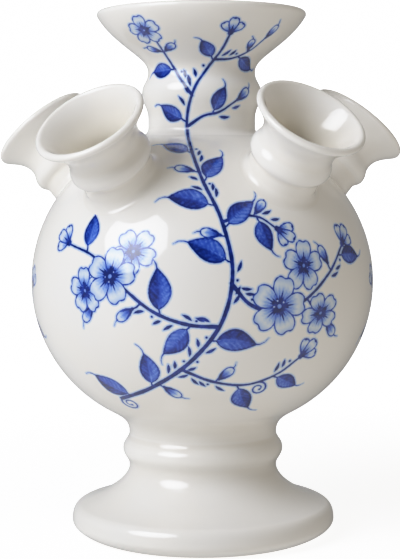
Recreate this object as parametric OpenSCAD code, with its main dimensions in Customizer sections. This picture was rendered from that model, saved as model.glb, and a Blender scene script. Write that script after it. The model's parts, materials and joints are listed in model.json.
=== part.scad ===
// Tulip vase: a hollow globe on a pedestal foot, with a bowl-mouthed neck on top
// and a crown of trumpet spouts round its shoulder, each piece cast by itself,
// seated on the globe and luted there with a bead of slip.
// The origin is at the middle of the foot's resting plane, +Z is up and -Y is the front.

/* [Globe] */
// Largest radius of the globe
globe_r = 78.7; // [74:0.1:84]
// Radius of the arc that the globe's side follows above its widest line
globe_arc_r = 69; // [66:0.5:73]
// Radius of the arc that it follows below that line
globe_low_r = 67; // [65:0.5:71]
// Wall thickness of the globe
globe_wall = 5; // [4:0.1:7]

/* [Foot] */
// Height at which the stem's outside meets the globe
foot_h = 53.5; // [50:0.5:58]
// Largest radius of the foot
foot_r = 60.9; // [58:0.1:68]
// Height of the foot's widest line
foot_edge_z = 6.5; // [6:0.1:8]
// How far inside its widest line the foot's top slope begins
foot_shoulder_w = 4; // [3:0.1:5]
// How far above its widest line the foot's top slope begins
foot_shoulder_h = 7.2; // [6:0.1:8]
// Outer radius of the flat ring that the foot stands on
foot_ring_r = 52.8; // [50:0.1:55]
// Width of the flat ring that the foot stands on
foot_ring_w = 5; // [4:0.1:7]
// Radius of the stem above and below its knop
stem_r = 34.2; // [32:0.1:36]
// Radius of the stem's knop
stem_knop_r = 37.1; // [36.2:0.1:42]
// Height of the stem's knop
stem_knop_z = 39.3; // [38:0.1:41]
// Height of the narrow line under the knop
stem_low_z = 31.2; // [29:0.1:33]
// Wall thickness of the stem
stem_wall = 5; // [4:0.1:7]

/* [Neck] */
// Height of the neck from its seat on the globe to its lip
neck_h = 55.1; // [53:0.1:64]
// Radius of the neck at its seat and at its narrow lines
neck_r = 24.6; // [22:0.1:27]
// Height of the narrow line under the ring, above the seat
neck_low_z = 7; // [5:0.1:9]
// Radius of the neck's ring
neck_ring_r = 27.4; // [26.5:0.1:31]
// Height of the neck's ring above the seat
neck_ring_z = 19; // [17:0.1:21]
// Height of the narrow line between ring and bowl, above the seat
neck_waist_z = 28.4; // [27:0.1:30]
// How far the knee of the bowl's side stands out from the narrow line
bowl_knee_w = 6; // [5:0.1:8]
// Height of the knee above the narrow line
bowl_knee_h = 8.2; // [7:0.1:9]
// Slope of the bowl's side at the knee, in degrees
bowl_knee_slope = 39; // [34:0.5:44]
// Radius of the bowl at its lip
bowl_r = 47.6; // [44:0.1:54]
// Wall thickness of the neck and its bowl
neck_wall = 3.6; // [3.2:0.1:4.6]

/* [Spouts] */
// Rise of the left and back spouts' axes above the horizontal, in degrees
spout_rise = 49; // [46:0.1:52]
// How much more steeply the two right-hand spouts were set, in degrees
right_lift = 1.1; // [0:0.1:3]
// Depth below the globe's widest line at which the spouts' axes meet
spout_drop = 20.5; // [17:0.5:24]
// Length of a spout along its axis, from the globe to its lip
spout_h = 31.2; // [29:0.1:36]
// Radius of a spout at its seat
spout_base_r = 16.2; // [15.5:0.1:17]
// Distance of the groove under a spout's ring from the globe, along the axis
spout_groove_s = 4.5; // [4:0.1:5.5]
// Radius of a spout's ring
spout_ring_r = 18.5; // [18:0.1:20]
// Distance of a spout's ring from the globe, along the axis
spout_ring_s = 10; // [9:0.1:11]
// Radius of the narrow line between ring and mouth
spout_waist_r = 16.8; // [16:0.1:17.5]
// Distance of that narrow line from the globe, along the axis
spout_waist_s = 17; // [16:0.1:18]
// Radius of a spout's mouth
spout_mouth_r = 24.3; // [23:0.1:27]
// Wall thickness of a spout
spout_wall = 3.2; // [2.8:0.1:4]

/* [Luting] */
// Thickness of the slip between the globe and a piece that is seated on it
slip = 0.8; // [0.5:0.1:1.2]
// Height of the slip's cove up the stem of the foot
foot_cove_h = 6.7; // [5:0.1:7.5]
// Width of the slip's cove on the globe, at the foot
foot_cove_w = 9.3; // [7:0.1:11]
// Height of the slip's cove up the neck
neck_cove_h = 3.5; // [2.5:0.1:5]
// Width of the slip's cove on the globe, at the neck
neck_cove_w = 4; // [3:0.1:6]
// Height of the slip's cove up a spout
spout_cove_h = 3; // [2:0.1:4]
// Width of the slip's cove on the globe, round a spout
spout_cove_w = 2.8; // [2.5:0.1:5]

/* [Hidden] */
$fn = 180;
GLAZE = "#ebe8e1";
SLIP = "#e2ded5";
CURVE_STEPS = 10;
LIP_STEPS = 8;

// Spout names in turn, and the bearing of each seen from above, -Y being the front
SPOUTS = ["spout_front_left", "spout_front_right", "spout_right", "spout_back", "spout_left"];
FIRST_BEARING = 234;
LAST = len(SPOUTS) - 1;
function bearing(i) = FIRST_BEARING + i * 360 / len(SPOUTS);
function luting_name(i) = str(SPOUTS[i], "_luting");

// The globe's outline is one arc above its widest line and a tighter one below it, both upright at
// that line, at the height globe_z. The centre of an arc stands off the axis by arc_off.
function arc_off(arc) = globe_r - arc;
function arc_rise(r, arc) = sqrt(pow(arc, 2) - pow(r - arc_off(arc), 2));
globe_off = arc_off(globe_arc_r);
globe_z = foot_h + arc_rise(stem_r, globe_low_r);
neck_seat_z = globe_z + arc_rise(neck_r, globe_arc_r);
lip_z = neck_seat_z + neck_h;

// Bores
stem_bore_r = stem_r - stem_wall;
neck_bore_r = neck_r - neck_wall;
spout_bore_r = spout_waist_r - spout_wall;

// Where a spout's axis leaves the globe, as a distance from the point where the spouts' axes meet
LIFTS = [0, right_lift, right_lift, 0, 0];
function rise(i) = spout_rise + LIFTS[i];
spout_meet_z = globe_z - spout_drop;
function seat_d(i) = let (
    b = globe_off * cos(rise(i)) + spout_drop * sin(rise(i)),
    c = pow(globe_off, 2) + pow(spout_drop, 2) - pow(globe_arc_r, 2)
) b + sqrt(b * b - c);

// The same seat as a radius, a height and the slope of the globe's own normal there
function seat_r(i) = seat_d(i) * cos(rise(i));
function seat_z(i) = spout_meet_z + seat_d(i) * sin(rise(i));
function seat_slope(i) = atan2(seat_z(i) - globe_z, seat_r(i) - globe_off);

// Mean radius of the globe's curvature at a spout's seat, along the meridian and across it
function seat_curve(i) = 2 / (1 / globe_arc_r + cos(seat_slope(i)) / seat_r(i));

// Curves in the plane of a profile
function bez(a, b, c, d) = [
    for (i = [0 : CURVE_STEPS]) let (t = i / CURVE_STEPS, u = 1 - t)
        u * u * u * a + 3 * u * u * t * b + 3 * u * t * t * c + t * t * t * d
];
function skip_first(p) = [for (i = [1 : len(p) - 1]) p[i]];
function reversed(p) = [for (i = [len(p) - 1 : -1 : 0]) p[i]];
function unit(v) = v / norm(v);
function way(p, i) = unit(p[min(i + 1, len(p) - 1)] - p[max(i - 1, 0)]);

// A curve that runs beside another, off to its left
function beside(p, off) = [for (i = [0 : len(p) - 1]) let (w = way(p, i)) p[i] + off * [-w[1], w[0]]];

// The round lip that joins an outer wall's end to the inner wall's, without those two points
function lip(a, b) = let (m = (a + b) / 2, r = norm(a - b) / 2, turn = atan2(a[1] - m[1], a[0] - m[0])) [
    for (i = [1 : LIP_STEPS - 1]) let (t = turn + 180 * i / LIP_STEPS) m + r * [cos(t), sin(t)]
];

// A wave from one radius to the next, upright at both ends
function swell(r1, z1, r2, z2) = let (h = 0.45 * (z2 - z1))
    bez([r1, z1], [r1, z1 + h], [r2, z2 - h], [r2, z2]);

// A flared mouth from its narrow line to its lip, with the wall beside it, as outer, lip and inner points
function mouth(outer, wall) = let (inner = beside(outer, wall)) concat(
    outer,
    lip(outer[len(outer) - 1], inner[len(inner) - 1]),
    reversed(inner)
);

// Outline of the globe on one side of the axis, let out by a coat or drawn in to its cavity
module globe_outline(coat = 0) {
    for (up = [true, false]) {
        arc = up ? globe_arc_r : globe_low_r;
        r = arc + coat;
        low = up ? 0 : -r;
        translate([0, low]) square([arc_off(arc), r]);
        intersection() {
            translate([arc_off(arc), 0]) circle(r);
            translate([arc_off(arc), low]) square([r, r]);
        }
    }
}

// The whole globe as one solid, or the globe with its coat of slip
module globe_solid(coat = 0) {
    translate([0, 0, globe_z]) rotate_extrude() globe_outline(coat);
}

// Section of the globe's upper or lower arc as a whole circle, or of that arc's coat of slip
module arc_circle(arc, coat = 0) {
    translate([arc_off(arc), globe_z]) circle(arc + coat);
}

// Frame of a spout: +Z runs out along its axis, from its seat on the globe
module at_spout(i) {
    translate([0, 0, spout_meet_z])
        rotate([0, 90 - rise(i), bearing(i)])
            translate([0, 0, seat_d(i)])
                children();
}

// Frame of the globe's surface at a spout's seat: +Z runs out along the globe's normal
module at_seat(i) {
    rotate([0, 0, bearing(i)])
        translate([seat_r(i), 0, seat_z(i)])
            rotate([0, 90 - seat_slope(i), 0])
                children();
}

// Foot: a turned pedestal, hollow below, whose rim is cut to the globe it carries
foot_shoulder = [foot_r - foot_shoulder_w, foot_edge_z + foot_shoulder_h];
flare_w = foot_shoulder[0] - stem_r;
flare_h = stem_low_z - foot_shoulder[1];
foot_sweep = foot_shoulder + [-0.56 * flare_w, 0.2 * flare_h];

function foot_edge() = bez(
    [foot_ring_r, 0],
    [foot_ring_r + 0.05 * (foot_r - foot_ring_r), 0],
    [foot_r, 0.4 * foot_edge_z],
    [foot_r, foot_edge_z]
);
function foot_round() = bez(
    [foot_r, foot_edge_z],
    [foot_r, foot_edge_z + 0.6 * foot_shoulder_h],
    foot_shoulder - 0.2 * (foot_sweep - foot_shoulder),
    foot_shoulder
);
function foot_flare() = bez(
    foot_shoulder,
    foot_sweep,
    [stem_r, stem_low_z - 0.35 * flare_h],
    [stem_r, stem_low_z]
);
function foot_hollow() = let (r = foot_ring_r - foot_ring_w, z = 0.87 * stem_low_z) bez(
    [stem_bore_r, z],
    [stem_bore_r, 0.47 * z],
    [r, foot_edge_z],
    [r, 0]
);

module pedestal_foot() {
    stem_high_z = foot_h - foot_cove_h;
    stem_top_z = foot_h + stem_wall;
    outline = concat(
        foot_edge(),
        skip_first(foot_round()),
        skip_first(foot_flare()),
        skip_first(swell(stem_r, stem_low_z, stem_knop_r, stem_knop_z)),
        skip_first(swell(stem_knop_r, stem_knop_z, stem_r, stem_high_z)),
        [[stem_r, stem_top_z], [stem_bore_r, stem_top_z]],
        foot_hollow()
    );
    color(GLAZE) rotate_extrude() difference() {
        polygon(outline);
        arc_circle(globe_low_r, slip);
    }
}

// Globe: closed below, open under the neck and under each spout
module globe() {
    color(GLAZE) difference() {
        translate([0, 0, globe_z]) rotate_extrude() difference() {
            globe_outline();
            globe_outline(-globe_wall);
        }
        translate([0, 0, globe_z]) cylinder(r = neck_bore_r, h = globe_arc_r + globe_wall);
        for (i = [0 : LAST])
            at_spout(i) cylinder(r = spout_bore_r, h = 4 * globe_wall, center = true);
    }
}

// Neck: a short ringed stem that opens into a bowl
function bowl_flare() = let (
    start = [neck_r, neck_seat_z + neck_waist_z],
    knee = start + [bowl_knee_w, bowl_knee_h],
    end = [bowl_r, lip_z - neck_wall / 2],
    span = end - knee,
    slant = [cos(bowl_knee_slope), sin(bowl_knee_slope)]
) concat(
    bez(start, start + [0, 0.42 * bowl_knee_h], knee - 0.6 * bowl_knee_w * slant, knee),
    skip_first(bez(knee, knee + 0.4 * span[0] * slant, end - [0.26 * span[0], 0.44 * span[1]], end))
);

module neck() {
    seat_under = neck_seat_z - neck_wall;
    ring_z = neck_seat_z + neck_ring_z;
    outline = concat(
        [[neck_bore_r, seat_under], [neck_r, seat_under]],
        swell(neck_r, neck_seat_z + neck_low_z, neck_ring_r, ring_z),
        skip_first(swell(neck_ring_r, ring_z, neck_r, neck_seat_z + neck_waist_z)),
        skip_first(mouth(bowl_flare(), neck_wall))
    );
    color(GLAZE) rotate_extrude() difference() {
        polygon(outline);
        arc_circle(globe_arc_r, slip);
    }
}

// Spout: a ringed trumpet whose base is cut to the globe's curve
spout_under = 0.75 * spout_base_r;

function spout_flare() = let (
    start = [spout_waist_r, spout_waist_s],
    end = [spout_mouth_r, spout_h - spout_wall / 2],
    span = end - start
) bez(start, start + [0, 0.44 * span[1]], end - [0.46 * span[0], 0.28 * span[1]], end);

function spout_outside() = concat(
    [[spout_base_r, -spout_under]],
    swell(spout_base_r, spout_groove_s, spout_ring_r, spout_ring_s),
    skip_first(swell(spout_ring_r, spout_ring_s, spout_waist_r, spout_waist_s))
);

module spout(i) {
    outline = concat(
        [[spout_bore_r, -spout_under]],
        spout_outside(),
        skip_first(mouth(spout_flare(), spout_wall))
    );
    color(GLAZE) difference() {
        at_spout(i) rotate_extrude() polygon(outline);
        globe_solid(slip);
    }
}

// Luting: the coat of slip under a seated piece, drawn out into a cove in the corner round it.
// The cove runs from [r, z] on the piece's wall to [r + w, z - h], where it has sunk into the globe.
function cove(r, z, w, h) =
    bez([r, z], [r + 0.06 * w, z - 0.5 * h], [r + 0.4 * w, z - 0.86 * h], [r + w, z - h]);
function mirrored(p) = [for (q = p) [q[0], -q[1]]];

cove_sink = 0.6 * slip;

module foot_luting() {
    outer = stem_r + foot_cove_w;
    low = foot_h - foot_cove_h;
    high = globe_z - arc_rise(outer, globe_low_r) + cove_sink;
    color(SLIP) rotate_extrude() difference() {
        polygon(concat(
            [[stem_bore_r, high], [stem_bore_r, low]],
            mirrored(cove(stem_r, -low, foot_cove_w, high - low))
        ));
        arc_circle(globe_low_r);
        difference() {
            translate([0, low - slip]) square([stem_r, globe_arc_r]);
            arc_circle(globe_low_r, slip);
        }
    }
}

module neck_luting() {
    outer = neck_r + neck_cove_w;
    high = neck_seat_z + neck_cove_h;
    low = globe_z + arc_rise(outer, globe_arc_r) - cove_sink;
    color(SLIP) rotate_extrude() difference() {
        polygon(concat(
            [[neck_bore_r, low], [neck_bore_r, high]],
            cove(neck_r, high, neck_cove_w, high - low)
        ));
        arc_circle(globe_arc_r);
        difference() {
            translate([0, low]) square([neck_r, globe_arc_r]);
            arc_circle(globe_arc_r, slip);
        }
    }
}

module spout_luting(i) {
    outer = spout_base_r + spout_cove_w;
    low = sqrt(pow(seat_curve(i), 2) - pow(outer, 2)) - seat_curve(i) - cove_sink;
    color(SLIP) difference() {
        at_seat(i) rotate_extrude() polygon(concat(
            [[0, low], [0, spout_cove_h]],
            cove(spout_base_r, spout_cove_h, spout_cove_w, spout_cove_h - low)
        ));
        globe_solid();
        difference() {
            at_spout(i) rotate_extrude()
                polygon(concat([[0, -spout_under]], spout_outside(), [[0, spout_waist_s]]));
            globe_solid(slip);
        }
        at_spout(i) cylinder(r = spout_bore_r, h = 2 * spout_under, center = true);
    }
}

pedestal_foot();
globe();
neck();
foot_luting();
neck_luting();
for (i = [0 : LAST]) {
    spout(i);
    spout_luting(i);
}
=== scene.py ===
"""Dresses the solids of a tulip vase with smooth glazed pieces, a brush-painted branch and a plain studio."""

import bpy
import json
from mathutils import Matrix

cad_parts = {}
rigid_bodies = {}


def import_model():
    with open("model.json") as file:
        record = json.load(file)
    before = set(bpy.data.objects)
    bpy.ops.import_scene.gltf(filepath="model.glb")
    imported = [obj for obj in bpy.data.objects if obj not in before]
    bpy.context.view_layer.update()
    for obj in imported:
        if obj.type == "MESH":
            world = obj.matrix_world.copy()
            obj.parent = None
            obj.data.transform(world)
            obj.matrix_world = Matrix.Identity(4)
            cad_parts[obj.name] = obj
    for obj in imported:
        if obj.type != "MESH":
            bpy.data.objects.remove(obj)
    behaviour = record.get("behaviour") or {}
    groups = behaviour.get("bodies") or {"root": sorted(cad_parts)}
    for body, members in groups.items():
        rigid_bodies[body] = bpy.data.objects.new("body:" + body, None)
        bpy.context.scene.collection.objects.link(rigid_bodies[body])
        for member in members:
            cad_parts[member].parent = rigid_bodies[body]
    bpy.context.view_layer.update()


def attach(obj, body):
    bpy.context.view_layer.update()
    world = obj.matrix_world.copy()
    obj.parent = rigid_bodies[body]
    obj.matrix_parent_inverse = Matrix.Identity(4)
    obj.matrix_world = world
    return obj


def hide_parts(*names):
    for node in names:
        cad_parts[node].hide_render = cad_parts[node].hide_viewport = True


bl_info = {
    "name": "Tulip vase",
    "version": (1, 0, 0),
    "blender": (4, 5, 0),
    "location": "3D View > Sidebar > Tulip vase",
    "description": "Turned and luted pieces of a tulip vase under a white glaze, "
                   "with a branch brushed on in cobalt",
    "category": "Object",
}

import json
import math

import bmesh
import bpy
import numpy as np
from mathutils import Matrix, Vector

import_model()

MM = 0.001
SMOOTH = math.radians(38)
FAR = 9.0  # millimetres that stand for no mark near
MARGIN = 2.5  # millimetres round a mark in which its distance is worked out
THROAT = 22.0  # millimetres down a mouth in which the glaze runs thin
THIN_WASH = (1.0, 1.1, 2.6)  # how late red, green and blue fade as the cobalt thickens
SPOUT_NAMES = ("spout_front_left", "spout_front_right", "spout_right", "spout_back", "spout_left")
FIRST_BEARING, SPOUT_STEP, SPOUT_SIDES = 234.0, 72.0, 144
FLOOR_RADIUS, DOME_RADIUS = 4.0, 4.2
# The octabox: its radius and its distance from what it faces in metres, its bearing and its rise in degrees
OCTABOX_RADIUS, OCTABOX_AWAY, OCTABOX_BEARING, OCTABOX_RISE = 0.48, 1.2, -49, 30
# The camera: height of its sensor in millimetres, then focal length, height and shift of its view in pixels
SENSOR, FOCAL, VIEW_HEIGHT, VIEW_SHIFT = 36.0, 1469, 559, -1.9
TABLE, WALLS = (1.0, 1.0, 1.01), (1.09, 1.0, 0.87)
# Soft glows of the room: bearing to the right of the front and rise in degrees, brightness, tint
ROOM = ((0, -90, 0.61, TABLE), (-45, -32, 0.84, TABLE), (45, -32, 0.54, WALLS), (90, -32, 0.47, TABLE),
        (-135, -32, 0.75, TABLE), (0, 90, 0.36, WALLS), (90, 28, 0.36, WALLS), (180, 28, 0.46, TABLE))


# Settings


def length(name, text, mm):
    return bpy.props.FloatProperty(
        name=name, description=text, default=mm * MM, min=0.0, precision=4, subtype="DISTANCE", unit="LENGTH"
    )


def angle(name, text, degrees):
    return bpy.props.FloatProperty(
        name=name, description=text, default=math.radians(degrees), subtype="ANGLE", unit="ROTATION"
    )


def colour(name, text, rgb):
    return bpy.props.FloatVectorProperty(
        name=name, description=text, default=rgb, size=3, min=0.0, max=1.0, subtype="COLOR"
    )


def brightness(name, text, value):
    return bpy.props.FloatProperty(name=name, description=text, default=value, min=0.0, subtype="FACTOR")


def group(kind, name, text):
    return bpy.props.PointerProperty(type=kind, name=name, description=text)


class GlobeSizes(bpy.types.PropertyGroup):
    """Sizes of the hollow globe"""

    radius: length("Radius", "Largest radius of the globe", 78.7)
    arc: length("Upper arc", "Radius of the arc that the globe's side follows above its widest line", 69)
    low_arc: length("Lower arc", "Radius of the arc that it follows below that line", 67)
    wall: length("Wall", "Wall thickness of the globe", 5)


class FootSizes(bpy.types.PropertyGroup):
    """Sizes of the pedestal foot"""

    height: length("Height", "Height at which the stem's outside meets the globe", 53.5)
    radius: length("Radius", "Largest radius of the foot", 60.9)
    edge: length("Edge height", "Height of the foot's widest line", 6.5)
    shoulder_in: length("Shoulder inset", "How far inside the widest line the top slope begins", 4)
    shoulder_up: length("Shoulder rise", "How far above the widest line the top slope begins", 7.2)
    ring: length("Ring radius", "Outer radius of the flat ring that the foot stands on", 52.8)
    ring_width: length("Ring width", "Width of the flat ring that the foot stands on", 5)
    stem: length("Stem radius", "Radius of the stem above and below its knop", 34.2)
    knop: length("Knop radius", "Radius of the stem's knop", 37.1)
    knop_up: length("Knop height", "Height of the stem's knop", 39.3)
    low: length("Low line", "Height of the narrow line under the knop", 31.2)
    wall: length("Wall", "Wall thickness of the stem", 5)


class NeckSizes(bpy.types.PropertyGroup):
    """Sizes of the neck and its bowl"""

    height: length("Height", "Height from the seat on the globe to the lip", 55.1)
    radius: length("Radius", "Radius at the seat and at the narrow lines", 24.6)
    low: length("Low line", "Height of the narrow line under the ring", 7)
    ring: length("Ring radius", "Radius of the neck's ring", 27.4)
    ring_up: length("Ring height", "Height of the ring above the seat", 19)
    waist: length("Waist height", "Height of the narrow line between ring and bowl", 28.4)
    knee_out: length("Knee reach", "How far the knee of the bowl stands out from the narrow line", 6)
    knee_up: length("Knee rise", "Height of the knee above the narrow line", 8.2)
    knee_slope: angle("Knee slope", "Slope of the bowl's side at the knee", 39)
    bowl: length("Bowl radius", "Radius of the bowl at its lip", 47.6)
    wall: length("Wall", "Wall thickness of the neck", 3.6)


class SpoutSizes(bpy.types.PropertyGroup):
    """Sizes of the trumpet spouts"""

    rise: angle("Rise", "Rise of the left and back spouts' axes above the horizontal", 49)
    lift: angle("Right lift", "How much more steeply the two right-hand spouts were set", 1.1)
    drop: length("Drop", "Depth below the globe's widest line at which the axes meet", 20.5)
    height: length("Length", "Length along the axis from the globe to the lip", 31.2)
    base: length("Base radius", "Radius at the seat", 16.2)
    groove: length("Groove", "Distance of the groove from the globe", 4.5)
    ring: length("Ring radius", "Radius of the ring", 18.5)
    ring_up: length("Ring", "Distance of the ring from the globe", 10)
    waist: length("Waist radius", "Radius of the narrow line between ring and mouth", 16.8)
    waist_up: length("Waist", "Distance of that narrow line from the globe", 17)
    mouth: length("Mouth radius", "Radius of the mouth", 24.3)
    wall: length("Wall", "Wall thickness of a spout", 3.2)


class LutingSizes(bpy.types.PropertyGroup):
    """Sizes of the slip joints"""

    slip: length("Slip", "Thickness of the slip under a seated piece", 0.8)
    foot_up: length("Foot cove height", "Height of the cove up the stem", 6.7)
    foot_out: length("Foot cove width", "Width of the cove on the globe", 9.3)
    neck_up: length("Neck cove height", "Height of the cove up the neck", 3.5)
    neck_out: length("Neck cove width", "Width of the cove on the globe", 4)
    spout_up: length("Spout cove height", "Height of the cove up a spout", 3.2)
    spout_out: length("Spout cove width", "Width of the cove round a spout", 3.4)


class Finishes(bpy.types.PropertyGroup):
    """Colours of the glaze, the brushed cobalt and the bare clay"""

    glaze: colour("Glaze", "White of the glaze", (0.845, 0.815, 0.755))
    glaze_cool: colour("Cool glaze", "White of the glaze where it drifts cooler", (0.83, 0.81, 0.768))
    # Painted shade: this darker colour goes into grooves and coves, partly glaze gathered there and partly
    # painted shade
    glaze_deep_and_shade: colour("Gathered glaze", "Glaze where it has gathered in a groove", (0.765, 0.72, 0.64))
    glaze_thin: colour("Thin glaze", "Glaze where it has run thin on a ridge or a lip", (0.86, 0.835, 0.785))
    throat: colour("Throat glaze", "Glaze run thin over cream clay inside a mouth", (0.91, 0.86, 0.75))
    cobalt: colour("Cobalt", "What a full brush of cobalt lets through", (0.003, 0.015, 0.155))
    clay: colour("Clay", "Bare fired clay of the resting ring", (0.72, 0.64, 0.53))
    paper: colour("Studio paper", "Pale floor and backdrop", (0.93, 0.93, 0.93))


class StageSizes(bpy.types.PropertyGroup):
    """Camera and lights of the studio"""

    camera_back: length("Camera distance", "Distance of the camera in front of the vase's axis", 679)
    camera_up: length("Camera height", "Height of the camera", 165.6)
    camera_tilt: angle("Camera tilt", "How far the camera looks down", 4.08)
    camera_roll: angle("Camera roll", "How far the camera leans", 0.2)
    lamp: brightness("Octabox", "Brightness of the octabox on the left", 6.45)
    room: brightness("Room", "Brightness of the dim room", 1.0)


class VaseSettings(bpy.types.PropertyGroup):
    """Everything that a user would change on the vase"""

    globe: group(GlobeSizes, "Globe", "Sizes of the globe")
    foot: group(FootSizes, "Foot", "Sizes of the foot")
    neck: group(NeckSizes, "Neck", "Sizes of the neck")
    spouts: group(SpoutSizes, "Spouts", "Sizes of the spouts")
    luting: group(LutingSizes, "Luting", "Sizes of the slip joints")
    finish: group(Finishes, "Finishes", "Colours of the finishes")
    stage: group(StageSizes, "Stage", "Camera and lights")


def settings():
    return bpy.context.scene.tulip_vase


# Outlines, in millimetres: a point is (radius, height)


def pt(r, z):
    return np.array((r, z), float)


def bez(a, b, c, d, steps=14):
    """A cubic curve from a to d: points between points, or rings between rings."""
    t = np.linspace(0, 1, steps + 1).reshape(-1, *[1] * np.ndim(a))
    u = 1 - t
    return u**3 * a + 3 * u * u * t * b + 3 * u * t * t * c + t**3 * d


def swell(r1, z1, r2, z2):
    """A wave from one radius to the next, upright at both ends."""
    h = 0.45 * (z2 - z1)
    return bez(pt(r1, z1), pt(r1, z1 + h), pt(r2, z2 - h), pt(r2, z2))


def thread(*runs):
    """One outline from several runs of points, each point once."""
    points = np.concatenate([np.atleast_2d(run) for run in runs])
    fresh = np.r_[True, np.hypot(*np.diff(points, axis=0).T) > 1e-4]
    return points[fresh]


def mouth(outer, wall):
    """A flared mouth: its outer side, a round lip, and the inner side back down."""
    way = np.gradient(outer, axis=0)
    way /= np.hypot(*way.T)[:, None]
    inner = outer + wall * np.c_[-way[:, 1], way[:, 0]]
    middle, spoke = (outer[-1] + inner[-1]) / 2, (outer[-1] - inner[-1]) / 2
    t = np.linspace(0, math.pi, 11)[1:-1, None]
    over = middle + np.cos(t) * spoke + np.sin(t) * pt(-spoke[1], spoke[0])
    return thread(outer, over, inner[::-1])


def rest_of(outline, step):
    """The outline with points added where they stand further apart than step."""
    runs = []
    for a, b in zip(outline, outline[1:]):
        n = max(1, math.ceil(np.hypot(*(b - a)) / step))
        runs.append(a + (b - a) * np.linspace(0, 1, n + 1)[:, None])
    return thread(*runs)


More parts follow.
